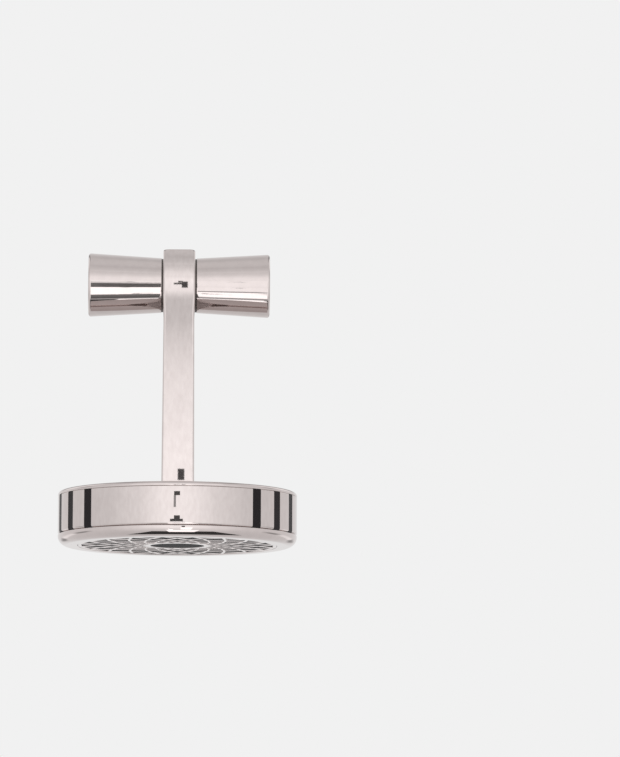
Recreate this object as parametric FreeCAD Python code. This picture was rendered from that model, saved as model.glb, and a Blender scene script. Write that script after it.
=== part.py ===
import FreeCAD, Part
import math
import os

from FreeCAD import Vector

# A round cufflink standing on its face: the post rises along +Z and the toggle lies along X.
# All sizes are in millimetres and all angles in degrees. Z is zero on the face side of the bezel.

# Clearances
seat_clearance = 0.02       # pieces that are pressed or cemented together
running_clearance = 0.03    # toggle on its pin and against the washers
toggle_clearance = 0.10     # toggle ends to the fork arms
edge_break = 0.06           # small bevel at the seams of the side wall

# Head
head_diameter = 18.0
bezel_height = 0.80
bezel_round = 0.74
bezel_steps = 3             # narrow bevels that turn the bezel's rounded edge
band_height = 2.90
band_wall = 0.60
cover_edge = 0.45           # height of the cover's rim above the band
cover_bevel = 0.38
spigot_depth = 0.75         # how far bezel and cover reach into the band
spigot_wall = 0.40
lip_width = 0.46            # bezel's lip over the face plate's flange
lip_thickness = 0.45
flange_thickness = 0.40
face_recess = 0.03
spacer_wall = 1.00

# Face pattern: rows of lozenges that shrink towards a round boss
lozenges_around = 20
lozenge_rows = 5
row_ratio = 0.82
rib_width = 0.24            # at the border; the ribs narrow with the rows
face_border = 0.10
cell_depth = 0.22
enamel_sink = 0.03          # height of the ribs above the enamel

# Black bars in the side wall, in two groups to the left and right of the front
bars_in_group = 3
bar_width = 0.80
bar_depth = 0.25
bar_sink = 0.02
bar_pitch_angle = 14.6
bar_first_angle = 44.3
bar_middle_angle = -3.5

# Post
post_length = 15.65         # back of the head to the toggle's axis
foot_width = 2.46
neck_width = 2.31
eye_width = 2.40
neck_drop = 2.60            # below the toggle's axis
eye_drop = 1.30
arm_rise = 2.39             # arm's end above the toggle's axis
arm_thickness = 1.10
arm_tip = 0.18              # what the curve over an arm's end leaves of its thickness
arm_edge_bevel = 0.14
eye_corner_round = 0.20
foot_thickness = 1.20
foot_recess = 0.20
fork_corner_round = 0.80

# Screw that holds the post from inside the head
screw_diameter = 1.60
screw_head_diameter = 3.00
screw_head_height = 0.70
screw_floor = 0.40          # metal left in the foot above the screw
screw_slot_width = 0.35
screw_slot_depth = 0.30

# Toggle and its pin
toggle_length = 13.70
toggle_end_diameter = 4.82
toggle_waist_diameter = 4.15
toggle_end_bevel = 0.20
toggle_bore_diameter = 2.60
plug_shoulder = 0.45
plug_thickness = 0.70
pin_diameter = 1.00
pin_flat_depth = 0.10
pin_flat_margin = 0.10      # flats beyond each side of the spring
pin_seat_floor = 0.45       # metal left in the front arm before the pin
washer_diameter = 2.00
spring_thickness = 0.15
spring_width = 1.00
spring_length = 8.00

# Places worked out from the sizes above
head_radius = head_diameter / 2
band_top = bezel_height + band_height
head_height = band_top + cover_edge
axis_height = head_height + post_length
band_bore = head_radius - band_wall
spigot_radius = band_bore - seat_clearance
flange_bore = spigot_radius - spigot_wall
flange_radius = flange_bore - seat_clearance
opening_radius = flange_radius - lip_width
flange_back = lip_thickness + flange_thickness
cover_spigot_low = band_top - spigot_depth
pattern_radius = opening_radius - face_border
boss_radius = pattern_radius * row_ratio ** (lozenge_rows + 1) - rib_width
cell_floor = face_recess + cell_depth
enamel_low = face_recess + enamel_sink
waist_radius = toggle_waist_diameter / 2
end_radius = toggle_end_diameter / 2
arm_inner = max(end_radius, waist_radius) + toggle_clearance
arm_outer = arm_inner + arm_thickness
arm_top = axis_height + arm_rise
foot_low = head_height - foot_recess
fork_floor = head_height + foot_thickness
screw_tip = fork_floor - screw_floor
pin_radius = pin_diameter / 2
pin_seat_end = -arm_outer + pin_seat_floor
flat_distance = pin_radius - pin_flat_depth
washer_radius = washer_diameter / 2
washer_seat = math.sqrt(waist_radius ** 2 - (washer_radius + running_clearance) ** 2)
bore_radius = toggle_bore_diameter / 2
plug_radius = bore_radius + plug_shoulder


def outline(points):
    """Closed wire through the points; a pair of points is an arc's middle and its end."""
    edges = []
    here = points[0]
    for step in points[1:] + points[:1]:
        if isinstance(step, tuple):
            edges.append(Part.Arc(here, step[0], step[1]).toShape())
            here = step[1]
        else:
            edges.append(Part.LineSegment(here, step).toShape())
            here = step
    return Part.Wire(edges)


def arc_point(centre, radius, angle, place):
    """Point on an arc, set in its plane by the function place."""
    turn = math.radians(angle)
    return place(centre[0] + radius * math.cos(turn), centre[1] + radius * math.sin(turn))


def arc(centre, radius, first_angle, last_angle, place):
    """Middle and end of an arc, as outline takes them."""
    middle_angle = (first_angle + last_angle) / 2
    return arc_point(centre, radius, middle_angle, place), arc_point(centre, radius, last_angle, place)


def head_section(radius, height):
    """Point of a section through the head's axis."""
    return Vector(radius, 0, height)


def head_turned(points):
    """Solid turned round the head's axis."""
    return Part.Face(outline(points)).revolve(Vector(0, 0, 0), Vector(0, 0, 1), 360)


def toggle_section(along, radius):
    """Point of a section through the toggle's long axis."""
    return Vector(along, 0, axis_height + radius)


def toggle_turned(points):
    """Solid turned round the toggle's long axis."""
    return Part.Face(outline(points)).revolve(Vector(0, 0, axis_height), Vector(1, 0, 0), 360)


def disc(radius, low, high):
    """Upright cylinder on the head's axis."""
    return Part.makeCylinder(radius, high - low, Vector(0, 0, low))


def pivot_rod(radius, front, back):
    """Cylinder along the pivot, from front to back."""
    return Part.makeCylinder(radius, back - front, Vector(0, front, axis_height), Vector(0, 1, 0))


def block(width, depth, low, high):
    """Upright block on the head's axis."""
    return Part.makeBox(width, depth, high - low, Vector(-width / 2, -depth / 2, low))


def polar(radius, angle):
    """Point on the face, at an angle from the front, positive to the right."""
    turn = math.radians(angle)
    return Vector(radius * math.sin(turn), -radius * math.cos(turn), 0)


def bezel_ring():
    """Front ring: rounded outer edge, lip over the face plate, spigot into the case band."""
    corner_round = min(bezel_round, bezel_height - edge_break)
    corner = (head_radius - corner_round, corner_round)
    angles = [-90 + 90 * step / bezel_steps for step in range(bezel_steps + 1)]
    spigot_top = bezel_height + spigot_depth
    return head_turned([
        head_section(opening_radius, 0),
        *[arc_point(corner, corner_round, angle, head_section) for angle in angles],
        head_section(head_radius, bezel_height - edge_break / 2),
        head_section(head_radius - edge_break, bezel_height),
        head_section(spigot_radius, bezel_height),
        head_section(spigot_radius, spigot_top),
        head_section(flange_bore, spigot_top),
        head_section(flange_bore, lip_thickness),
        head_section(opening_radius, lip_thickness),
    ])


def lozenge(row, angle):
    """Corners of a lozenge: outer tip, right, inner tip and left, on three row radii."""
    half_step = 180 / lozenges_around
    outer, middle, inner = [pattern_radius * row_ratio ** (row + step) for step in (0, 1, 2)]
    return [
        polar(outer, angle),
        polar(middle, angle + half_step),
        polar(inner, angle),
        polar(middle, angle - half_step),
    ]


def cell(corners, inset, low, high):
    """Prism on a polygon whose sides are drawn in by the inset."""
    middle = sum(corners, Vector(0, 0, 0)) / len(corners)
    sides = []
    for here, there in zip(corners, corners[1:] + corners[:1]):
        along = (there - here).normalize()
        inward = Vector(-along.y, along.x, 0)
        if inward.dot(middle - here) < 0:
            inward = inward * -1
        sides.append((here + inward * inset, along))
    drawn_in = []
    for (here, along), (there, other) in zip(sides[-1:] + sides[:-1], sides):
        cross = along.x * other.y - along.y * other.x
        reach = ((there.x - here.x) * other.y - (there.y - here.y) * other.x) / cross
        point = here + along * reach
        drawn_in.append(Vector(point.x, point.y, low))
    return Part.Face(outline(drawn_in)).extrude(Vector(0, 0, high - low))


def pattern_row(row, gap, low, high):
    """Cells of one row, a gap inside its ribs. Row 0 is half lozenges, odd rows are turned half a step."""
    step = 360 / lozenges_around
    inset = rib_width * row_ratio ** row / 2 + gap
    cells = []
    for place in range(lozenges_around):
        corners = lozenge(row - 1, step * (place + row / 2))
        if row == 0:
            corners = corners[1:]
        cells.append(cell(corners, inset, low, high))
    return Part.makeCompound(cells)


def face_plate():
    """Stepped disc whose ribs stand round the sunk cells."""
    front_radius = opening_radius - seat_clearance
    plate = head_turned([
        head_section(0, face_recess),
        head_section(front_radius, face_recess),
        head_section(front_radius, lip_thickness),
        head_section(flange_radius, lip_thickness),
        head_section(flange_radius, flange_back),
        head_section(0, flange_back),
    ])
    for row in range(lozenge_rows + 1):
        plate = plate.cut(pattern_row(row, 0, face_recess, cell_floor))
    return plate.cut(disc(boss_radius, face_recess, cell_floor))


def enamel_row(row):
    """Enamel in one row of cells, below the ribs."""
    return pattern_row(row, seat_clearance / 2, enamel_low, cell_floor)


def enamel_boss():
    """Round of enamel in the middle."""
    return disc(boss_radius - seat_clearance / 2, enamel_low, cell_floor)


def bar_angles():
    """Angles of the bars from the front, left group first."""
    angles = []
    for side in (-1, 1):
        for place in range(bars_in_group):
            angles.append(bar_middle_angle + side * (bar_first_angle + place * bar_pitch_angle))
    return angles


def bar_slab(angle, width, outer, low, high):
    """Upright slab in the side wall, from the slot's floor to an outer radius."""
    wall = disc(outer, low, high).cut(disc(head_radius - bar_depth, low, high))
    slab = Part.makeBox(width, head_diameter, high - low, Vector(-width / 2, -head_diameter, low))
    slab.rotate(Vector(0, 0, 0), Vector(0, 0, 1), angle)
    return wall.common(slab)


def case_band():
    """Side wall of the head, with an upright slot for each black bar."""
    band = head_turned([
        head_section(band_bore, bezel_height),
        head_section(head_radius, bezel_height),
        head_section(head_radius, band_top),
        head_section(band_bore, band_top),
    ])
    for angle in bar_angles():
        band = band.cut(bar_slab(angle, bar_width, head_radius + edge_break, bezel_height, band_top))
    return band


def rim_inlay(angle):
    """One black bar, set just below the side wall's surface."""
    low = bezel_height + seat_clearance
    high = band_top - seat_clearance
    return bar_slab(angle, bar_width - seat_clearance, head_radius - bar_sink, low, high)


def spacer_ring():
    """Ring that holds the face plate's flange against the bezel's lip."""
    return disc(flange_radius, flange_back, cover_spigot_low).cut(
        disc(flange_radius - spacer_wall, flange_back, cover_spigot_low))


def back_cover():
    """Back of the head: bevelled edge, spigot into the band, shallow seat for the post's foot."""
    bevel = min(cover_bevel, cover_edge - edge_break)
    cover = head_turned([
        head_section(0, cover_spigot_low),
        head_section(spigot_radius, cover_spigot_low),
        head_section(spigot_radius, band_top),
        head_section(head_radius - edge_break, band_top),
        head_section(head_radius, band_top + edge_break / 2),
        head_section(head_radius, head_height - bevel),
        head_section(head_radius - bevel, head_height),
        head_section(0, head_height),
    ])
    seat_width = foot_width + 2 * seat_clearance
    seat_depth = 2 * (arm_outer + seat_clearance)
    cover = cover.cut(block(seat_width, seat_depth, foot_low, head_height))
    return cover.cut(disc(screw_diameter / 2 + seat_clearance, cover_spigot_low, head_height))


def post_screw():
    """Cheese-head screw from inside the head into the foot."""
    head_low = cover_spigot_low - screw_head_height
    screw = disc(screw_head_diameter / 2, head_low, cover_spigot_low)
    screw = screw.fuse(disc(screw_diameter / 2, head_low, screw_tip)).removeSplitter()
    return screw.cut(block(screw_head_diameter, screw_slot_width, head_low, head_low + screw_slot_depth))


def fork_front():
    """Front outline of the post: tapers from the foot to a neck, then widens to the eye."""
    def front(across, up):
        return Vector(across, -arm_outer, up)
    foot = foot_width / 2
    neck = neck_width / 2
    eye = eye_width / 2
    neck_height = axis_height - neck_drop
    eye_height = axis_height - eye_drop
    right_corner = (eye - eye_corner_round, arm_top - eye_corner_round)
    left_corner = (-right_corner[0], right_corner[1])
    return outline([
        front(-foot, foot_low),
        front(foot, foot_low),
        front(neck, neck_height),
        front(eye, eye_height),
        front(eye, right_corner[1]),
        arc(right_corner, eye_corner_round, 0, 90, front),
        front(left_corner[0], arm_top),
        arc(left_corner, eye_corner_round, 90, 180, front),
        front(-eye, eye_height),
        front(-neck, neck_height),
    ])


def fork_side():
    """Side outline of the post: two arms on a foot, each arm curved in over its end."""
    def side(across, up):
        return Vector(-foot_width, across, up)
    curve_run = arm_thickness - arm_tip
    curve_radius = (arm_rise ** 2 + curve_run ** 2) / (2 * curve_run)
    curve_angle = math.degrees(math.asin(arm_rise / curve_radius))
    back_curve = (arm_outer - curve_radius, axis_height)
    front_curve = (-back_curve[0], axis_height)
    back_corner = (arm_inner - fork_corner_round, fork_floor + fork_corner_round)
    front_corner = (-back_corner[0], back_corner[1])
    return outline([
        side(-arm_outer, foot_low),
        side(arm_outer, foot_low),
        side(arm_outer, axis_height),
        arc(back_curve, curve_radius, 0, curve_angle, side),
        side(arm_inner, arm_top),
        side(arm_inner, back_corner[1]),
        arc(back_corner, fork_corner_round, 0, -90, side),
        side(front_corner[0], fork_floor),
        arc(front_corner, fork_corner_round, -90, -180, side),
        side(-arm_inner, arm_top),
        side(-arm_inner - arm_tip, arm_top),
        arc(front_curve, curve_radius, 180 - curve_angle, 180, side),
    ])


def is_outer_upright(edge):
    """True for the upright edges on the outside of the arms."""
    low = edge.Vertexes[0].Point
    high = edge.Vertexes[-1].Point
    middle = edge.valueAt((edge.FirstParameter + edge.LastParameter) / 2)
    upright = abs(high.z - low.z) > max(abs(high.y - low.y), abs(high.x - low.x), eye_corner_round)
    return upright and abs(middle.y) > arm_inner + arm_tip


def post_fork():
    """Two arms on a foot, with seats for the pin and a hole for the screw."""
    front = Part.Face(fork_front()).extrude(Vector(0, 2 * arm_outer, 0))
    side = Part.Face(fork_side()).extrude(Vector(2 * foot_width, 0, 0))
    fork = front.common(side).removeSplitter()
    bevel = min(arm_edge_bevel, arm_tip / 2)
    fork = fork.makeChamfer(bevel, [edge for edge in fork.Edges if is_outer_upright(edge)])
    fork = fork.cut(pivot_rod(pin_radius + seat_clearance / 2, pin_seat_end, arm_outer))
    return fork.cut(disc(screw_diameter / 2 + seat_clearance, foot_low, screw_tip + seat_clearance))


def pivot_pin():
    """Pin through the back arm into a blind seat in the front arm, with four flats at its middle."""
    pin = pivot_rod(pin_radius, pin_seat_end + seat_clearance, arm_outer - edge_break)
    half_flat = spring_width / 2 + pin_flat_margin
    flats = pivot_rod(pin_diameter, -half_flat, half_flat)
    core = block(2 * flat_distance, 2 * half_flat, axis_height - flat_distance, axis_height + flat_distance)
    return pin.cut(flats.cut(core))


def thrust_washer(side):
    """Washer between the toggle and one arm; side is -1 for the front and 1 for the back."""
    front, back = sorted((side * (washer_seat + running_clearance), side * (arm_inner - seat_clearance)))
    washer = pivot_rod(washer_radius, front, back)
    return washer.cut(pivot_rod(pin_radius + seat_clearance / 2, front, back))


def toggle_barrel():
    """Hollow double cone with a plain waist, bored for the spring and cross-bored for the pin."""
    end = toggle_length / 2
    plug_bore = plug_radius + seat_clearance / 2
    bevel = min(toggle_end_bevel, (end_radius - plug_bore) / 2)
    half = [
        (end - plug_thickness, bore_radius),
        (end - plug_thickness, plug_bore),
        (end, plug_bore),
        (end, end_radius - bevel),
        (end - bevel, end_radius),
        (eye_width / 2, waist_radius),
    ]
    right = [toggle_section(along, radius) for along, radius in half]
    left = [toggle_section(-along, radius) for along, radius in reversed(half)]
    barrel = toggle_turned(right + left)
    barrel = barrel.cut(pivot_rod(pin_radius + running_clearance, -end_radius, end_radius))
    for front, back in ((-arm_inner, -washer_seat), (washer_seat, arm_inner)):
        barrel = barrel.cut(pivot_rod(washer_radius + running_clearance, front, back))
    return barrel


def end_plug(side):
    """Plug in one end of the toggle; side is -1 for the left and 1 for the right."""
    face = side * toggle_length / 2
    return toggle_turned([
        toggle_section(face - side * plug_thickness, 0),
        toggle_section(face - side * plug_thickness, plug_radius),
        toggle_section(face, plug_radius),
        toggle_section(face, 0),
    ])


def click_spring():
    """Bowed leaf in the bore, under the pin: its middle lies on a flat, its ends on the bore's wall."""
    def leaf(along, drop):
        return Vector(along, -spring_width / 2, axis_height - drop)
    half = spring_length / 2
    near = flat_distance + seat_clearance
    far = math.sqrt(bore_radius ** 2 - (spring_width / 2) ** 2) - seat_clearance
    bow = far - near - spring_thickness
    inner_bend = (half ** 2 + bow ** 2) / (2 * bow)
    outer_bend = inner_bend + spring_thickness
    centre = (0, near + outer_bend)
    lean = math.degrees(math.asin(half / outer_bend))
    left = -90 - lean
    right = -90 + lean
    strip = outline([
        arc_point(centre, outer_bend, left, leaf),
        arc(centre, outer_bend, left, right, leaf),
        arc_point(centre, inner_bend, right, leaf),
        arc(centre, inner_bend, right, left, leaf),
    ])
    return Part.Face(strip).extrude(Vector(0, spring_width, 0))


pieces = {
    "bezel_ring": bezel_ring(),
    "face_plate": face_plate(),
    "enamel_boss": enamel_boss(),
    "case_band": case_band(),
    "spacer_ring": spacer_ring(),
    "back_cover": back_cover(),
    "post_screw": post_screw(),
    "post_fork": post_fork(),
    "pivot_pin": pivot_pin(),
    "thrust_washer_front": thrust_washer(-1),
    "thrust_washer_back": thrust_washer(1),
    "toggle_barrel": toggle_barrel(),
    "click_spring": click_spring(),
    "end_plug_left": end_plug(-1),
    "end_plug_right": end_plug(1),
}
for row in range(lozenge_rows + 1):
    pieces["enamel_row_%d" % (row + 1)] = enamel_row(row)
for number, angle in enumerate(bar_angles()):
    pieces["rim_inlay_%d" % (number + 1)] = rim_inlay(angle)

os.makedirs("parts", exist_ok=True)
for name, shape in pieces.items():
    shape.exportStep(os.path.join("parts", name + ".step"))
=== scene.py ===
import math

import bmesh
import bpy
from mathutils import Matrix, Vector

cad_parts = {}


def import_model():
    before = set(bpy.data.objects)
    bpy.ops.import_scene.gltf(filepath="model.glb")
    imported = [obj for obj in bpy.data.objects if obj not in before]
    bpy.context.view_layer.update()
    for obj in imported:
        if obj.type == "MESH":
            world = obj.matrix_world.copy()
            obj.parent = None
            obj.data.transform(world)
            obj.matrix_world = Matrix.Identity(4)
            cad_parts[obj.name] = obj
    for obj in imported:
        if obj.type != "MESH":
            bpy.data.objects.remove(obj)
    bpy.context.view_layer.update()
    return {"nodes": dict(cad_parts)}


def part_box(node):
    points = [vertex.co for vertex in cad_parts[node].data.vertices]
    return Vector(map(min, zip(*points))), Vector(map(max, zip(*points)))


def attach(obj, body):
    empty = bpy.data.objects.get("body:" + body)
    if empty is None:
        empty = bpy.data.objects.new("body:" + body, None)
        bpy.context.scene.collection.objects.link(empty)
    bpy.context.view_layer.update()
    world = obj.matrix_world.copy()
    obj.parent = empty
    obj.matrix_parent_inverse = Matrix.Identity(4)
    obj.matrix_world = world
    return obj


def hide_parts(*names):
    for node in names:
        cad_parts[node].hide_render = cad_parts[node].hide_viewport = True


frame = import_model()

# A round steel cufflink that stands on its face. Pieces are drawn in millimetres and brought to
# metres when they are finished.
MM = 0.001
NEAR = 0.0005


def corners_of(node):
    """Lowest and highest corner of a CAD node, in millimetres."""
    low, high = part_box(node)
    return Vector(low) / MM, Vector(high) / MM


# Sizes read from the frame
bezel_high = corners_of("bezel_ring")[1]
band_low, band_high = corners_of("case_band")
cover_low, cover_high = corners_of("back_cover")
plate_low, plate_high = corners_of("face_plate")
enamel_low, enamel_high = corners_of("enamel_row_1")
boss_high = corners_of("enamel_boss")[1]
fork_low, fork_high = corners_of("post_fork")
pin_low, pin_high = corners_of("pivot_pin")
washer_low, washer_high = corners_of("thrust_washer_back")
barrel_low, barrel_high = corners_of("toggle_barrel")
plug_low, plug_high = corners_of("end_plug_right")
head_radius = band_high.x
axis_height = (barrel_low.z + barrel_high.z) / 2
toggle_end_radius = barrel_high.z - axis_height
plug_radius = plug_high.z - axis_height
pin_radius = pin_high.z - axis_height
washer_radius = washer_high.z - axis_height
arm_outer = fork_high.y
arm_top = fork_high.z

# Head, where a box doesn't say it
lip_width = 0.46
lip_thickness = 0.45
lip_round = 0.05
spigot_wall = 0.40
seat_clearance = 0.02
band_wall = 0.60
bezel_round = 0.70
cover_crown = 0.11
crown_start = 3.0
cover_round = 0.24
seam_round = 0.055
wall_foot_round = 0.20
opening_radius = plate_high.x - lip_width
flange_bore = plate_high.x + seat_clearance
spigot_radius = flange_bore + spigot_wall

# Face pattern: rings of lozenges, two rows to a ring
lozenges_around = 20
ring_count = 3
row_ratio = 0.82
rib_width = 0.24
face_border = 0.10
cell_draft = 0.03
rib_round = 0.022
enamel_dome = 0.012
enamel_slope = 0.05
pattern_radius = opening_radius - face_border
ring_ratio = row_ratio ** 2
ring_radii = [pattern_radius * ring_ratio ** ring for ring in range(ring_count + 1)]

# Black bars in the side wall, with angles in degrees from the front
bars_in_group = 3
bar_width = 0.80
bar_depth = 0.25
bar_sink = 0.02
bar_round = 0.03
bar_pitch_angle = 14.6
bar_first_angle = 44.3
bar_middle_angle = -3.5

# Post
foot_width = fork_high.x - fork_low.x
neck_width = 2.31
eye_width = 2.40
neck_drop = 2.60
eye_drop = 1.30
arm_thickness = 1.10
arm_tip = 0.18
arm_inner = arm_outer - arm_thickness
arm_edge_round = 0.15
eye_corner_round = 0.20
foot_height = 1.20
fork_floor = cover_high.z + foot_height
fork_corner_round = 0.80

# Pin and washers
pin_inner_round = 0.05
pin_outer_round = 0.07
washer_round = 0.04

# Toggle
toggle_waist_radius = 2.075
toggle_edge_round = 0.20
toggle_bore_radius = 1.30
toggle_groove_width = 0.14
toggle_groove_depth = 0.06
plug_round = 0.05
running_clearance = 0.03

# How far a cutter stands out of what it cuts
overcut = 1

# How finely pieces are made: steps of a full turn, of a bend and of a corner
head_steps = 256
toggle_steps = 160
small_steps = 72
crown_steps = 6
tip_corner_steps = 5
arm_bend_steps = 14
fork_corner_steps = 8

# Cuts of a straight edge that becomes round, and segments of a rounded one
plate_edge_cuts = 11
boss_edge_cuts = 4
rib_segments = 2
fine_segments = 3
seam_segments = 4
arm_edge_segments = 5
edge_segments = 8
cover_segments = 10
bezel_segments = 14

# Edges blunter than this angle are shaded smooth, and a face this level counts as flat
smooth_angle = 32
flat_normal = 0.99

# Floor under the object
floor_size = 3000
floor_drop = 0.02

# Camera: the photograph's place and framing, in its own pixels and in millimetres
photo_width = 620
photo_height = 757
focal_pixels = 5333
face_pixel_x = 177.5
face_pixel_y = 547.1
camera_distance = 400
camera_drop = 36
camera_roll = 0.25
camera_near = 10


def hex_colour(code):
    """Linear colour of an sRGB hex value."""
    parts = [int(code[place:place + 2], 16) / 255 for place in (1, 3, 5)]
    linear = [part / 12.92 if part <= 0.04045 else ((part + 0.055) / 1.055) ** 2.4 for part in parts]
    return (*linear, 1)


def select_only(piece):
    """Makes a piece the active one and the only one selected."""
    bpy.ops.object.select_all(action="DESELECT")
    bpy.context.view_layer.objects.active = piece
    piece.select_set(True)


def edit(piece):
    """Enters edit mode on one piece alone."""
    select_only(piece)
    bpy.ops.object.mode_set(mode="EDIT")


def pick(piece, kind, wanted):
    """Selects, in edit mode, the verts, edges or faces for which wanted is true."""
    mode = {"verts": "VERT", "edges": "EDGE", "faces": "FACE"}[kind]
    bpy.ops.mesh.select_mode(type=mode)
    bpy.ops.mesh.select_all(action="DESELECT")
    mesh = bmesh.from_edit_mesh(piece.data)
    for element in getattr(mesh, kind):
        if wanted(element):
            element.select_set(True)
    mesh.select_flush_mode()
    bmesh.update_edit_mesh(piece.data)


def drawn_line(points):
    """New piece, left in edit mode, that is one line through the points."""
    bpy.ops.object.select_all(action="DESELECT")
    bpy.ops.mesh.primitive_plane_add(size=1)
    piece = bpy.context.object
    bpy.ops.object.mode_set(mode="EDIT")
    bpy.ops.mesh.select_mode(type="VERT")
    bpy.ops.mesh.select_all(action="SELECT")
    bpy.ops.mesh.merge(type="CENTER")
    bpy.ops.transform.translate(value=points[0])
    for here, there in zip(points, points[1:]):
        bpy.ops.mesh.extrude_vertices_move(TRANSFORM_OT_translate={"value": there - here})
    return piece


def turned(profile, place, steps):
    """Piece turned on a lathe from a profile of (along, radius) points.

    A point whose corner is rounded also gives the round and its segments. A profile that leaves the
    axis and comes back to it is a full piece, any other one is a ring.
    """
    ring = profile[0][1] > 0
    centre = place(0, 0)
    points = [place(along, radius) for along, radius, *rounding in profile]
    piece = drawn_line(points + points[:1] if ring else points)
    bpy.ops.mesh.select_all(action="SELECT")
    bpy.ops.mesh.remove_doubles(threshold=NEAR)
    for corner, (along, radius, *rounding) in zip(points, profile):
        if rounding:
            cut, segments = rounding
            pick(piece, "verts", lambda vert: (vert.co - corner).length < NEAR)
            bpy.ops.mesh.bevel(offset=cut, segments=segments, affect="VERTICES", clamp_overlap=False)
    bpy.ops.mesh.select_all(action="SELECT")
    bpy.ops.mesh.spin(steps=steps, angle=2 * math.pi, center=centre, axis=place(1, 0) - centre)
    bpy.ops.mesh.select_all(action="SELECT")
    bpy.ops.mesh.remove_doubles(threshold=NEAR)
    bpy.ops.mesh.normals_make_consistent(inside=False)
    bpy.ops.object.mode_set(mode="OBJECT")
    return piece


def on_head(along, radius):
    """Point of a section through the head's axis."""
    return Vector((radius, 0, along))


def on_toggle(along, radius):
    """Point of a section through the toggle's long axis."""
    return Vector((along, 0, axis_height + radius))


def on_pin(along, radius):
    """Point of a section through the pivot."""
    return Vector((0, along, axis_height + radius))


def sleeve(low, high, bore, radius, low_rounding=(), high_rounding=()):
    """Profile of a sleeve, or of a rod where the bore is 0, with its outer edges sharp or rounded."""
    return [(low, bore), (low, radius, *low_rounding), (high, radius, *high_rounding), (high, bore)]


def block(low, high):
    """Block between its lowest and highest corner."""
    bpy.ops.object.select_all(action="DESELECT")
    bpy.ops.mesh.primitive_cube_add(
        size=1,
        location=[(near + far) / 2 for near, far in zip(low, high)],
        scale=[far - near for near, far in zip(low, high)])
    bpy.ops.object.transform_apply(location=True, rotation=True, scale=True)
    return bpy.context.object


def copy_of(piece, angle):
    """Copy of a piece, with a mesh of its own, turned round the head's axis."""
    select_only(piece)
    bpy.ops.object.duplicate(linked=False)
    copy = bpy.context.object
    copy.rotation_euler.z = math.radians(angle)
    bpy.ops.object.transform_apply(location=True, rotation=True, scale=True)
    return copy


def cut_out(piece, cutter):
    """Cuts one piece out of another and removes the cutter."""
    cut = piece.modifiers.new("cut", "BOOLEAN")
    cut.operation = "DIFFERENCE"
    cut.solver = "EXACT"
    cut.object = cutter
    select_only(piece)
    bpy.ops.object.modifier_apply(modifier=cut.name)
    bpy.data.objects.remove(cutter)
    edit(piece)
    bpy.ops.mesh.select_all(action="SELECT")
    bpy.ops.mesh.remove_doubles(threshold=NEAR)
    bpy.ops.mesh.dissolve_degenerate(threshold=NEAR)
    bpy.ops.object.mode_set(mode="OBJECT")


def finished(piece, name, body, material, nodes):
    """Smooths a piece, brings it to metres, and puts it in the place of its nodes."""
    select_only(piece)
    piece.name = name
    bpy.ops.object.transform_apply(location=True, rotation=True, scale=True)
    bpy.ops.object.shade_smooth_by_angle(angle=math.radians(smooth_angle))
    even = piece.modifiers.new("even_normals", "WEIGHTED_NORMAL")
    even.keep_sharp = True
    bpy.ops.object.modifier_apply(modifier=even.name)
    piece.scale = (MM, MM, MM)
    bpy.ops.object.transform_apply(location=True, rotation=True, scale=True)
    piece.data.materials.append(material)
    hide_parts(*nodes)
    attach(piece, body)


def painted(piece, material, wanted):
    """Gives another material to the faces whose middle, in millimetres, is wanted."""
    piece.data.materials.append(material)
    edit(piece)
    pick(piece, "faces", lambda face: wanted(face.calc_center_median() / MM))
    piece.active_material_index = len(piece.data.materials) - 1
    bpy.ops.object.material_slot_assign()
    bpy.ops.object.mode_set(mode="OBJECT")


def add(tree, kind, sockets=None, **settings):
    """Adds a node with its settings; each of its sockets takes a constant or another node's output."""
    new = tree.nodes.new(kind)
    for name, value in settings.items():
        setattr(new, name, value)
    for name, value in (sockets or {}).items():
        if isinstance(value, bpy.types.NodeSocket):
            tree.links.new(value, new.inputs[name])
        else:
            new.inputs[name].default_value = value
    return new


def new_material(name):
    """Empty node material and its tree."""
    material = bpy.data.materials.new(name)
    material.use_nodes = True
    material.node_tree.nodes.clear()
    return material, material.node_tree


# Stretch of a grain that is the same all ways, and of one that stands upright, and its octaves
EVEN = (1, 1, 1)
UPRIGHT = (1, 1, 0.4)
grain_octaves = 3.0


def grained(name, grain, tones, rough, stretch=EVEN, **shading):
    """Material whose tone and roughness follow a grain, of a size in millimetres and stretched.

    A Mix node of colours takes its share in socket 0 and its colours in 6 and 7, and gives output 2.
    """
    material, tree = new_material(name)
    place = add(tree, "ShaderNodeTexCoord").outputs["Object"]
    along = add(tree, "ShaderNodeVectorMath", {0: place, 1: stretch}, operation="MULTIPLY")
    noise = add(tree, "ShaderNodeTexNoise", {
        "Vector": along.outputs["Vector"], "Scale": 1 / (grain * MM), "Detail": grain_octaves})
    share = noise.outputs["Fac"]
    tone = add(tree, "ShaderNodeMix", {
        0: share, 6: hex_colour(tones[0]), 7: hex_colour(tones[1])}, data_type="RGBA")
    spread = add(tree, "ShaderNodeMapRange", {"Value": share, "To Min": rough[0], "To Max": rough[1]})
    shader = add(tree, "ShaderNodeBsdfPrincipled", {
        "Base Color": tone.outputs[2], "Roughness": spread.outputs["Result"], **shading})
    add(tree, "ShaderNodeOutputMaterial", {"Surface": shader.outputs["BSDF"]})
    return material


# The grain of each finish is finer on the real object, and is drawn as coarse as it needs to show.

# Mirror-polished stainless steel: warm grey, with the faint cloud that a polishing wheel leaves
polished = grained(
    "polished_stainless_steel", grain=0.6, tones=("#CCC2C0", "#D8CECC"), rough=(0.03, 0.06),
    Metallic=1.0)
# Lapped stainless steel of the wall and the post: as bright, with a grain that is slightly upright
lapped = grained(
    "lapped_stainless_steel", grain=0.25, tones=("#C8BEBC", "#DBD2D0"), rough=(0.01, 0.03),
    stretch=UPRIGHT, Metallic=1.0)
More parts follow.
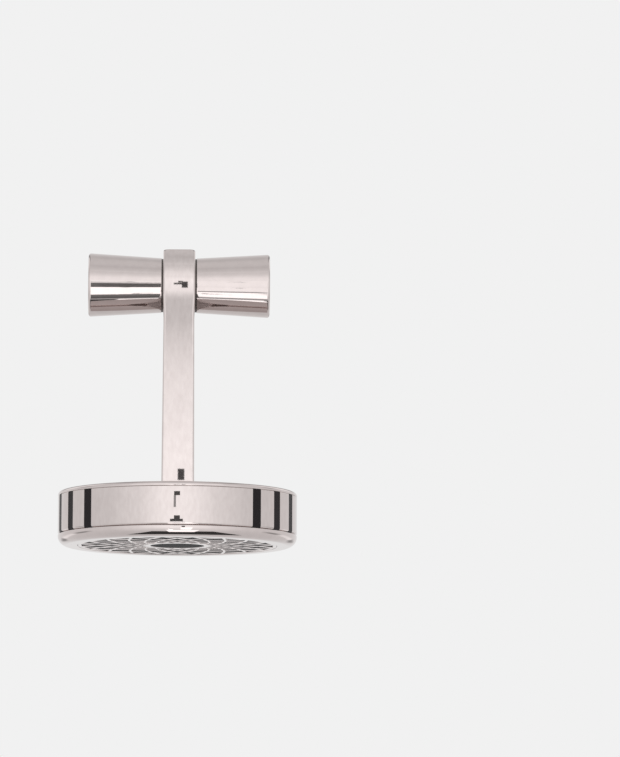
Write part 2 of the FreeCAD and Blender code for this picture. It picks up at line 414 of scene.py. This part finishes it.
# Steel left as milled between the arms, where no wheel reaches: duller and darker
milled = grained(
    "milled_stainless_steel", grain=0.3, tones=("#B4ABA9", "#C2B9B7"), rough=(0.35, 0.50),
    Metallic=0.6)
# Fired enamel rubbed matt: black, with slight clouds where it ran in the cells
enamel = grained(
    "fired_matt_black_enamel", grain=0.6, tones=("#151317", "#1E1B20"), rough=(0.45, 0.55),
    **{"Specular IOR Level": 0.04})
# Lacquer rubbed level with the wall: brownish black, half gloss
lacquer = grained(
    "rubbed_black_lacquer", grain=0.2, tones=("#1F1B1D", "#282426"), rough=(0.30, 0.45),
    **{"Specular IOR Level": 0.08})
# Steel painted dark in the turned groove beside the arm: painted shade standing in for the shadow of the
# gap between arm and toggle, a dull dark line
groove_painted_shade = grained(
    "steel_with_painted_groove_shade", grain=0.1, tones=("#57524F", "#67625F"), rough=(0.40, 0.55), Metallic=1.0)
# Steel as the lathe leaves it, on inner pieces: grey and half dull
lathe_steel = grained(
    "turned_steel", grain=0.08, tones=("#B2AEAA", "#BDB9B5"), rough=(0.25, 0.40), Metallic=1.0)
# Tempered strip steel: darker, with a smooth rolled skin
strip_steel = grained(
    "tempered_spring_steel", grain=0.4, tones=("#83817F", "#92908E"), rough=(0.20, 0.32),
    Metallic=1.0)


def bezel_ring():
    """Front ring with a full rounded edge, a lip over the face plate and a spigot into the band."""
    piece = turned([
        (0, opening_radius, lip_round, fine_segments),
        (0, head_radius, bezel_round, bezel_segments),
        (band_low.z, head_radius, seam_round, seam_segments),
        (band_low.z, spigot_radius),
        (bezel_high.z, spigot_radius),
        (bezel_high.z, flange_bore),
        (lip_thickness, flange_bore),
        (lip_thickness, opening_radius),
    ], on_head, head_steps)
    finished(piece, "bezel", "link", polished, ["bezel_ring"])


def lozenge_sheet():
    """Flat sheet of lozenges at the face's level, left in edit mode.

    Rings of quads are poked and their first edges dissolved, which leaves rows of lozenges.
    """
    level = plate_low.z
    bpy.ops.object.select_all(action="DESELECT")
    bpy.ops.mesh.primitive_circle_add(
        vertices=lozenges_around, radius=pattern_radius, location=(0, 0, level),
        rotation=(0, 0, math.pi / lozenges_around))
    sheet = bpy.context.object
    bpy.ops.object.transform_apply(location=True, rotation=True, scale=True)
    bpy.ops.object.mode_set(mode="EDIT")
    bpy.ops.mesh.select_all(action="SELECT")
    for ring in range(ring_count):
        bpy.ops.mesh.extrude_edges_move()
        bpy.ops.transform.resize(value=(ring_ratio, ring_ratio, 1), center_override=(0, 0, level))

    def on_ring(vert):
        return any(abs(vert.co.xy.length - radius) < NEAR for radius in ring_radii)

    bpy.ops.mesh.select_all(action="SELECT")
    bpy.ops.mesh.poke(center_mode="MEDIAN")
    pick(sheet, "edges", lambda edge: not edge.is_boundary and all(on_ring(vert) for vert in edge.verts))
    bpy.ops.mesh.dissolve_edges(use_verts=False)
    bpy.ops.mesh.select_all(action="SELECT")
    bpy.ops.mesh.normals_make_consistent(inside=False)
    if bmesh.from_edit_mesh(sheet.data).faces[:][0].normal.z > 0:
        bpy.ops.mesh.flip_normals()
    return sheet


def round_edge(plate, old_radius, new_radius, cuts):
    """Carries a many-sided edge of the plate on to a round one of another radius."""
    pick(plate, "edges", lambda edge: edge.is_boundary
         and abs(edge.verts[0].co.xy.length - old_radius) < NEAR)
    bpy.ops.mesh.extrude_edges_move()
    bpy.ops.mesh.subdivide(number_cuts=cuts)
    for vert in bmesh.from_edit_mesh(plate.data).verts:
        if vert.select:
            vert.co.xy = vert.co.xy.normalized() * new_radius
    bmesh.update_edit_mesh(plate.data)


def enamel_fill(plate, name, node):
    """Enamel on the selected floors of the plate: a copy of them, thickened and slightly domed."""
    bpy.ops.mesh.duplicate()
    bpy.ops.mesh.separate(type="SELECTED")
    bpy.ops.object.mode_set(mode="OBJECT")
    fill = [item for item in bpy.context.selected_objects if item != plate][0]
    edit(fill)
    bpy.ops.mesh.select_all(action="SELECT")
    bpy.ops.mesh.extrude_region_move(
        TRANSFORM_OT_translate={"value": (0, 0, enamel_low.z - enamel_high.z)})
    bpy.ops.mesh.inset(thickness=enamel_slope, depth=0, use_individual=True)
    bpy.ops.transform.translate(value=(0, 0, -enamel_dome))
    bpy.ops.mesh.select_all(action="SELECT")
    bpy.ops.mesh.normals_make_consistent(inside=False)
    bpy.ops.object.mode_set(mode="OBJECT")
    finished(fill, name, "link", enamel, [node])
    edit(plate)


def face_plate():
    """Face plate of ribs and sunk cells, and the enamel in the cells.

    Each row of lozenges is inset to leave its ribs, then sunk, and its floors carry the enamel.
    """
    level = plate_low.z
    cell_depth = level - enamel_high.z
    plate = lozenge_sheet()
    centres = sorted(
        (face.calc_center_median().xy for face in bmesh.from_edit_mesh(plate.data).faces),
        key=lambda centre: -centre.length)
    round_edge(plate, ring_radii[0], opening_radius - seat_clearance, plate_edge_cuts)
    round_edge(plate, ring_radii[-1], boss_high.x + cell_draft, boss_edge_cuts)
    bpy.ops.mesh.edge_face_add()
    for row in range(2 * ring_count):
        row_centres = centres[row * lozenges_around:(row + 1) * lozenges_around]
        pick(plate, "faces", lambda face: any(
            (face.calc_center_median().xy - centre).length < NEAR for centre in row_centres))
        bpy.ops.mesh.inset(thickness=rib_width / 2 * row_ratio ** row, depth=0, use_individual=True)
        bpy.ops.mesh.inset(thickness=cell_draft, depth=cell_depth, use_individual=True)
        enamel_fill(plate, "enamel_%d" % (row + 1), "enamel_row_%d" % (row + 1))
    pick(plate, "faces", lambda face: face.calc_center_median().xy.length < NEAR
         and len(face.verts) > lozenges_around)
    bpy.ops.mesh.inset(thickness=cell_draft, depth=cell_depth, use_individual=True)
    enamel_fill(plate, "enamel_middle", "enamel_boss")

    def is_rib_edge(edge):
        flat = [abs(face.normal.z) > flat_normal for face in edge.link_faces]
        on_top = all(abs(vert.co.z - level) < NEAR for vert in edge.verts)
        return on_top and len(flat) == 2 and sum(flat) == 1

    pick(plate, "edges", is_rib_edge)
    bpy.ops.mesh.bevel(offset=rib_round, segments=rib_segments, affect="EDGES")
    pick(plate, "edges", lambda edge: edge.is_boundary)
    bpy.ops.mesh.extrude_edges_move(TRANSFORM_OT_translate={"value": (0, 0, plate_high.z - level)})
    bpy.ops.mesh.edge_face_add()
    bpy.ops.mesh.select_all(action="SELECT")
    bpy.ops.mesh.normals_make_consistent(inside=False)
    bpy.ops.object.mode_set(mode="OBJECT")
    finished(plate, "face", "link", polished, ["face_plate"])


def bar_angles():
    """Angles of the bars from the front, left group first."""
    angles = []
    for side in (-1, 1):
        for number in range(bars_in_group):
            angles.append(bar_middle_angle + side * (bar_first_angle + number * bar_pitch_angle))
    return angles


def bar_block(width, outer, low, high):
    """Upright block at the front of the side wall, as deep in it as a bar."""
    return block((-width / 2, -outer, low), (width / 2, bar_depth - head_radius, high))


def case_band():
    """Side wall with a slot for each black bar."""
    piece = turned(sleeve(
        band_low.z, band_high.z, head_radius - band_wall, head_radius,
        (wall_foot_round, edge_segments), (seam_round, seam_segments)), on_head, head_steps)
    slot_block = bar_block(bar_width, head_radius + overcut, 0, cover_high.z)
    for angle in bar_angles():
        cut_out(piece, copy_of(slot_block, angle))
    bpy.data.objects.remove(slot_block)
    finished(piece, "side_wall", "link", lapped, ["case_band"])


def rim_bars():
    """Black bars with softly rounded edges, one for each slot."""
    first = bar_block(
        bar_width - seat_clearance, head_radius - bar_sink,
        band_low.z + seat_clearance, band_high.z - seat_clearance)
    edit(first)
    bpy.ops.mesh.select_all(action="SELECT")
    bpy.ops.mesh.bevel(offset=bar_round, segments=fine_segments, affect="EDGES")
    bpy.ops.object.mode_set(mode="OBJECT")
    for number, angle in enumerate(bar_angles(), 1):
        bar = copy_of(first, angle)
        finished(
            bar, "rim_bar_%d" % number, "link", lacquer, ["rim_inlay_%d" % number])
    bpy.data.objects.remove(first)


def back_cover():
    """Back of the head: slightly crowned, with a rounded edge and a shallow seat for the post's foot."""
    crown = []
    for step in range(crown_steps, -1, -1):
        share = step / crown_steps
        height = cover_high.z - cover_crown * share ** 2
        crown.append((height, crown_start + (head_radius - crown_start) * share))
    rim, *slope = crown
    piece = turned([
        (cover_low.z, 0),
        (cover_low.z, spigot_radius),
        (band_high.z, spigot_radius),
        (band_high.z, head_radius, seam_round, seam_segments),
        (*rim, cover_round, cover_segments),
        *slope,
        (cover_high.z, 0),
    ], on_head, head_steps)
    seat_x = foot_width / 2 + seat_clearance
    seat_y = arm_outer + seat_clearance
    cut_out(piece, block((-seat_x, -seat_y, fork_low.z), (seat_x, seat_y, fork_low.z + 2 * overcut)))
    finished(piece, "back", "link", polished, ["back_cover"])


def fork_levels():
    """Sections of one arm from its tip down: height, half width, outer face and inner face."""
    eye = eye_width / 2
    curve_run = arm_thickness - arm_tip
    curve_rise = arm_top - axis_height
    curve_radius = (curve_rise ** 2 + curve_run ** 2) / (2 * curve_run)

    def outer(height):
        above = max(height - axis_height, 0)
        return arm_outer - curve_radius + math.sqrt(curve_radius ** 2 - above ** 2)

    levels = []
    corner_low = arm_top - eye_corner_round
    for step in range(tip_corner_steps, -1, -1):
        turn = math.pi / 2 * step / tip_corner_steps
        height = corner_low + eye_corner_round * math.sin(turn)
        levels.append((height, eye - eye_corner_round * (1 - math.cos(turn)), outer(height), arm_inner))
    for step in range(1, arm_bend_steps + 1):
        height = corner_low + (axis_height - corner_low) * step / arm_bend_steps
        levels.append((height, eye, outer(height), arm_inner))
    neck_height = axis_height - neck_drop
    levels.append((axis_height - eye_drop, eye, arm_outer, arm_inner))
    levels.append((neck_height, neck_width / 2, arm_outer, arm_inner))

    def half_width(height):
        share = (neck_height - height) / (neck_height - fork_low.z)
        return (neck_width + (foot_width - neck_width) * share) / 2

    corner_height = fork_floor + fork_corner_round
    for step in range(fork_corner_steps + 1):
        turn = math.pi / 2 * step / fork_corner_steps
        height = corner_height - fork_corner_round * math.sin(turn)
        inner = arm_inner - fork_corner_round * (1 - math.cos(turn))
        levels.append((height, half_width(height), arm_outer, inner))
    levels.append((fork_low.z, foot_width / 2, arm_outer, arm_inner - fork_corner_round))
    return levels


def is_outer_corner(point, levels):
    """True for a point on an outer upright edge of the arm."""
    for height, half, outer, inner in levels:
        if abs(point.z - height) < NEAR:
            return abs(abs(point.x) - half) < NEAR and abs(point.y + outer) < NEAR
    return False


def post_fork():
    """Two arms on a foot: one half is extruded down from its tip level by level, then mirrored."""
    levels = fork_levels()
    height, half, outer, inner = levels[0]
    bpy.ops.object.select_all(action="DESELECT")
    bpy.ops.mesh.primitive_plane_add(size=1)
    piece = bpy.context.object
    bpy.ops.object.mode_set(mode="EDIT")
    bpy.ops.transform.resize(value=(2 * half, outer - inner, 1), center_override=(0, 0, 0))
    bpy.ops.transform.translate(value=(0, -(outer + inner) / 2, height))
    for (height, half, outer, inner), (lower, wide, out, near) in zip(levels, levels[1:]):
        bpy.ops.mesh.extrude_region_move(TRANSFORM_OT_translate={"value": (0, 0, lower - height)})
        bpy.ops.transform.resize(
            value=(wide / half, (out - near) / (outer - inner), 1), center_override=(0, -outer, lower))
        bpy.ops.transform.translate(value=(0, outer - out, 0))
    foot_inner = arm_inner - fork_corner_round
    pick(piece, "faces", lambda face: all(
        abs(vert.co.y + foot_inner) < NEAR and vert.co.z < fork_floor + NEAR for vert in face.verts))
    bpy.ops.mesh.extrude_region_move(TRANSFORM_OT_translate={"value": (0, foot_inner, 0)})
    bpy.ops.mesh.delete(type="FACE")
    bpy.ops.mesh.select_all(action="SELECT")
    bpy.ops.mesh.normals_make_consistent(inside=False)
    pick(piece, "edges", lambda edge: abs(edge.verts[0].co.z - edge.verts[1].co.z) > NEAR
         and all(is_outer_corner(vert.co, levels) for vert in edge.verts))
    bpy.ops.mesh.bevel(
        offset=arm_edge_round, segments=arm_edge_segments, affect="EDGES", clamp_overlap=False)
    bpy.ops.object.mode_set(mode="OBJECT")
    mirror = piece.modifiers.new("other_arm", "MIRROR")
    mirror.use_axis = (False, True, False)
    mirror.merge_threshold = NEAR
    bpy.ops.object.modifier_apply(modifier=mirror.name)
    edit(piece)
    bpy.ops.mesh.select_all(action="SELECT")
    bpy.ops.mesh.normals_make_consistent(inside=False)
    bpy.ops.object.mode_set(mode="OBJECT")
    hole = sleeve(0, arm_outer + overcut, 0, pin_radius + seat_clearance)
    cut_out(piece, turned(hole, on_pin, small_steps))
    finished(piece, "post", "link", lapped, ["post_fork"])
    painted(piece, milled, lambda place: abs(place.y) < arm_inner + NEAR and place.z > fork_floor - NEAR
            and abs(place.x) < foot_width / 2 - arm_edge_round)


def pivot_pin():
    """Pin, flush with the back arm, with softly broken edges."""
    piece = turned(sleeve(
        pin_low.y, pin_high.y, 0, pin_radius,
        (pin_inner_round, fine_segments), (pin_outer_round, seam_segments)), on_pin, small_steps)
    finished(piece, "pin", "link", polished, ["pivot_pin"])


def thrust_washers():
    """Washers between the toggle and the arms: the back one, and a copy turned to the front."""
    rounding = (washer_round, fine_segments)
    back = turned(sleeve(
        washer_low.y, washer_high.y, pin_radius + seat_clearance / 2, washer_radius,
        rounding, rounding), on_pin, small_steps)
    for piece, name in ((copy_of(back, 180), "front"), (back, "back")):
        finished(
            piece, "washer_" + name, "link", lathe_steel, ["thrust_washer_" + name])


def toggle_barrel():
    """Hollow double cone with rounded ends, spot-faced for the washers and cross-bored for the pin."""
    end = barrel_high.x
    waist = eye_width / 2
    plug_bore = plug_radius + seat_clearance / 2
    groove_floor = toggle_waist_radius - toggle_groove_depth
    half = [
        (plug_low.x, toggle_bore_radius),
        (plug_low.x, plug_bore),
        (end, plug_bore),
        (end, toggle_end_radius, toggle_edge_round, edge_segments),
        (waist + toggle_groove_width, toggle_waist_radius),
        (waist + toggle_groove_width, groove_floor),
        (waist, groove_floor),
        (waist, toggle_waist_radius),
    ]
    other_half = [(-along, radius, *rounding) for along, radius, *rounding in reversed(half)]
    piece = turned(half + other_half, on_toggle, toggle_steps)
    spot_radius = washer_radius + running_clearance
    seat = washer_low.y - running_clearance
    for low, high, radius in (
            (-toggle_end_radius - overcut, -seat, spot_radius),
            (seat, toggle_end_radius + overcut, spot_radius),
            (-toggle_end_radius, toggle_end_radius, pin_radius + running_clearance)):
        cut_out(piece, turned(sleeve(low, high, 0, radius), on_pin, small_steps))
    finished(piece, "toggle", "toggle", polished, ["toggle_barrel"])

    # Faces of the groove beside the arm, which take the painted shade
    def in_painted_groove_shade(place):
        across = math.hypot(place.y, place.z - axis_height)
        beside = waist - NEAR < abs(place.x) < waist + toggle_groove_width + NEAR
        return beside and groove_floor - NEAR < across < toggle_waist_radius - NEAR

    # The groove gets painted shade: a dark steel colour in place of the shadow beside the arm
    painted(piece, groove_painted_shade, in_painted_groove_shade)


def end_plugs():
    """Plugs in the toggle's ends, with a fine seam round each: the right one, and a copy turned left."""
    right = turned(sleeve(
        plug_low.x, plug_high.x, 0, plug_radius, (), (plug_round, seam_segments)), on_toggle, toggle_steps)
    for piece, name in ((copy_of(right, 180), "left"), (right, "right")):
        finished(piece, "plug_" + name, "toggle", polished, ["end_plug_" + name])


def inner_pieces():
    """Pieces inside the head and the toggle: the CAD nodes themselves, each in its steel."""
    for node, material in (
            ("spacer_ring", lathe_steel), ("post_screw", lathe_steel), ("click_spring", strip_steel)):
        frame["nodes"][node].data.materials.clear()
        frame["nodes"][node].data.materials.append(material)


def floor():
    """Pale floor just under the face, seen only from above."""
    bpy.ops.object.select_all(action="DESELECT")
    bpy.ops.mesh.primitive_plane_add(size=floor_size * MM, location=(0, 0, -floor_drop * MM))
    plane = bpy.context.object
    plane.name = "floor"
    material, tree = new_material("pale_floor")
    diffuse = add(tree, "ShaderNodeBsdfDiffuse", {"Color": hex_colour("#ECEBEA")})
    clear = add(tree, "ShaderNodeBsdfTransparent")
    side = add(tree, "ShaderNodeNewGeometry").outputs["Backfacing"]
    mix = add(tree, "ShaderNodeMixShader", {0: side, 1: diffuse.outputs[0], 2: clear.outputs[0]})
    add(tree, "ShaderNodeOutputMaterial", {"Surface": mix.outputs[0]})
    plane.data.materials.append(material)
    plane.visible_glossy = False
    plane.visible_shadow = False


def grey_ramp(tree, value, low, high, stops):
    """Grey that follows the stops of a value, from low to high."""
    span = add(tree, "ShaderNodeMapRange", {"Value": value, "From Min": low, "From Max": high})
    ramp = add(tree, "ShaderNodeValToRGB", {"Fac": span.outputs["Result"]})
    elements = ramp.color_ramp.elements
    shares = [(place - low) / (high - low) for place, level in stops]
    elements[0].position = shares[0]
    elements[1].position = shares[-1]
    for share in shares[1:-1]:
        elements.new(share)
    for element, (place, level) in zip(elements, stops):
        element.color = (level, level, level, 1)
    return ramp.outputs["Color"]


def world():
    """Pale studio all round: plain grey where the camera looks, softly graded where metal mirrors it.

    Behind, off the level, it has dark and light stripes, for the metal to mirror in views from there.
    """
    studio = bpy.data.worlds.new("studio")
    bpy.context.scene.world = studio
    studio.use_nodes = True
    tree = studio.node_tree
    tree.nodes.clear()
    way = add(tree, "ShaderNodeTexCoord").outputs["Generated"]
    parts = add(tree, "ShaderNodeSeparateXYZ", {"Vector": way})
    front = grey_ramp(tree, parts.outputs["Y"], -1, 1, (
        (-1, 1.36), (-0.92, 1.22), (-0.79, 1.05), (-0.36, 0.87), (0, 0.84), (1, 0.84)))
    height = grey_ramp(tree, parts.outputs["Z"], -1, 1, (
        (-1, 0.84), (-0.5, 0.93), (-0.1, 1), (0.3, 1), (0.7, 0.92), (0.8, 0.84), (0.92, 0.82), (1, 0.95)))
    stripes = grey_ramp(tree, parts.outputs["X"], -1, 1, (
        (-1, 0.5), (-0.9, 0.4), (-0.8, 1.3), (-0.5, 1.35), (-0.42, 0.45), (-0.3, 0.45), (-0.2, 1),
        (0.2, 1), (0.3, 0.45), (0.42, 0.45), (0.5, 1.35), (0.8, 1.3), (0.9, 0.4), (1, 0.5)))
    behind = add(tree, "ShaderNodeMapRange", {"Value": parts.outputs["Y"], "From Max": 0.2})
    off_level = grey_ramp(tree, parts.outputs["Z"], -1, 1, (
        (-1, 0), (-0.36, 0), (-0.29, 1), (-0.22, 1), (-0.1, 0), (0.2, 0), (0.35, 1), (1, 1)))
    share = add(tree, "ShaderNodeMath", {
        0: behind.outputs["Result"], 1: off_level}, operation="MULTIPLY")
    back = add(tree, "ShaderNodeMix", {
        0: share.outputs["Value"], 6: (1, 1, 1, 1), 7: stripes}, data_type="RGBA")
    grey = add(tree, "ShaderNodeVectorMath", {0: front, 1: height}, operation="MULTIPLY")
    grey = add(tree, "ShaderNodeVectorMath", {
        0: grey.outputs["Vector"], 1: back.outputs[2]}, operation="MULTIPLY")
    lit = add(tree, "ShaderNodeBackground", {"Color": grey.outputs["Vector"]})
    seen = add(tree, "ShaderNodeBackground", {"Color": hex_colour("#F1F1F1")})
    ray = add(tree, "ShaderNodeLightPath").outputs["Is Camera Ray"]
    choice = add(tree, "ShaderNodeMixShader", {0: ray, 1: lit.outputs[0], 2: seen.outputs[0]})
    add(tree, "ShaderNodeOutputWorld", {"Surface": choice.outputs[0]})


def card(name, left, right, low, high, away, grey, flat=False):
    """Studio card that only polished metal sees, upright before the object or lying flat below it.

    Its grey is one level, or follows stops over its height, or over its depth where it lies flat.
    """
    bpy.ops.object.select_all(action="DESELECT")
    bpy.ops.mesh.primitive_plane_add(size=1)
    plane = bpy.context.object
    plane.name = "card_" + name
    plane.scale = (right - left, high - low, 1)
    plane.location = ((left + right) / 2, (low + high) / 2, 0)
    bpy.ops.object.transform_apply(location=True, rotation=False, scale=True)
    if not flat:
        plane.rotation_euler.x = math.pi / 2
    plane.location = (0, 0, away) if flat else (0, away, 0)
    bpy.ops.object.transform_apply(location=True, rotation=True, scale=False)
    plane.scale = (MM, MM, MM)
    bpy.ops.object.transform_apply(location=False, rotation=False, scale=True)
    material, tree = new_material(name + "_card")
    if isinstance(grey, tuple):
        place = add(tree, "ShaderNodeTexCoord").outputs["Object"]
        along = add(tree, "ShaderNodeSeparateXYZ", {"Vector": place}).outputs["Y" if flat else "Z"]
        stops = [(spot * MM, level) for spot, level in grey]
        colour = grey_ramp(tree, along, low * MM, high * MM, stops)
    else:
        colour = (grey, grey, grey, 1)
    glow = add(tree, "ShaderNodeEmission", {"Color": colour})
    add(tree, "ShaderNodeOutputMaterial", {"Surface": glow.outputs["Emission"]})
    plane.data.materials.append(material)
    plane.visible_camera = False
    plane.visible_diffuse = False
    plane.visible_shadow = False


def cards():
    """Cards round the camera: what the polished metal mirrors.

    Each gives its left, right, low and high edge and its distance, in millimetres, then its grey.
    """
    black = 0.05
    dark = 0.1
    streak = 0.16
    shade = 0.4
    dim = 0.5
    bright = 1.36
    white = 1.75
    # Before the post: a soft panel that fades towards the toggle, and small dark spots
    card("panel", -2.2, 2.4, 14.5, 36, -100, (
        (14.5, 1.40), (16.4, 1.40), (18.6, 1.36), (21.95, 1.27), (24.2, 1.22), (26.4, 1.10), (28.05, 0.98),
        (29.7, 0.84), (31.45, 0.84), (31.75, 0.95), (32.1, 1.12), (32.45, 1.3), (34, 1.38), (36, 1.3)))
    card("arm_spot", 0.27, 0.86, 24.3, 24.87, -40, dark)
    card("arm_wedge", -0.1, 0.35, 24.79, 24.93, -40, dark)
    card("arm_line", -0.54, 0.27, 24.6, 24.76, -40, dark)
    card("foot_spot", -0.01, 0.65, 8.38, 9.31, -40, dark)
    # Before the side wall: small dark cards that its middle mirrors
    card("wall_top", -0.9, 0.62, 4.09, 4.41, -20, dark)
    card("wall_side", -1.0, -0.4, 3.17, 4.09, -20, shade)
    card("wall_low", -0.9, 0.62, 2.26, 2.52, -20, dark)
    card("wall_base", -1.9, 1.38, 2.05, 2.26, -20, dark)
    # Before the bezel: a bright glint in the middle of its rounded edge
    card("glint", -2.0, 4.0, -13.6, -4.4, -14, white)
    # Seen by the toggle's left cone alone, and by its right cone alone
    card("left_streak", 17, 31, -47, 22, -250, streak)
    card("left_streak_top", 17, 31, 30.5, 36, -250, streak)
    card("left_line", 8, 27, -190, -88, -149, (
        (-190, 0.3), (-106, 0.12), (-103, 0.5), (-88, 0.5)), flat=True)
    card("right_light", -18.5, -9, -63, -17, -149, bright)
    card("right_line", -20, -11, -79, -63, -149, dim)
    card("right_white", -25, -12, -190, -79, -149, white)
    card("right_low", -27, -8, -118, -88, -149, dim, flat=True)
    # Large lights above and below, and a dark card that lies flat under the camera
    card("upper", -250, 250, 73, 270, -251, (
        (73, 1.25), (110, 1.24), (141, 1.15), (175, 1.02), (214, 0.93), (270, 0.86)))
    card("white", 8, 38, -119, -22, -150, white)
    card("under", -60, 90, -92, 45, -150, black, flat=True)


def camera():
    """Long lens from just below the face's level, turned so that the face falls on its pixel."""
    right = math.atan((photo_width / 2 - face_pixel_x) / focal_pixels)
    up = math.atan(camera_drop / camera_distance)
    up += math.atan((face_pixel_y - photo_height / 2) / focal_pixels)
    turn = Matrix.Rotation(-right, 3, "Z") @ Matrix.Rotation(math.pi / 2 + up, 3, "X")
    turn = turn @ Matrix.Rotation(math.radians(camera_roll), 3, "Z")
    data = bpy.data.cameras.new("camera")
    data.lens = focal_pixels * data.sensor_width / photo_height
    data.clip_start = camera_near * MM
    view = bpy.data.objects.new("camera", data)
    view.location = (0, -camera_distance * MM, -camera_drop * MM)
    view.rotation_euler = turn.to_euler()
    bpy.context.collection.objects.link(view)
    bpy.context.scene.camera = view


bezel_ring()
face_plate()
case_band()
rim_bars()
back_cover()
post_fork()
pivot_pin()
thrust_washers()
toggle_barrel()
end_plugs()
inner_pieces()
floor()
world()
cards()
camera()
bpy.context.scene.view_settings.view_transform = "Standard"
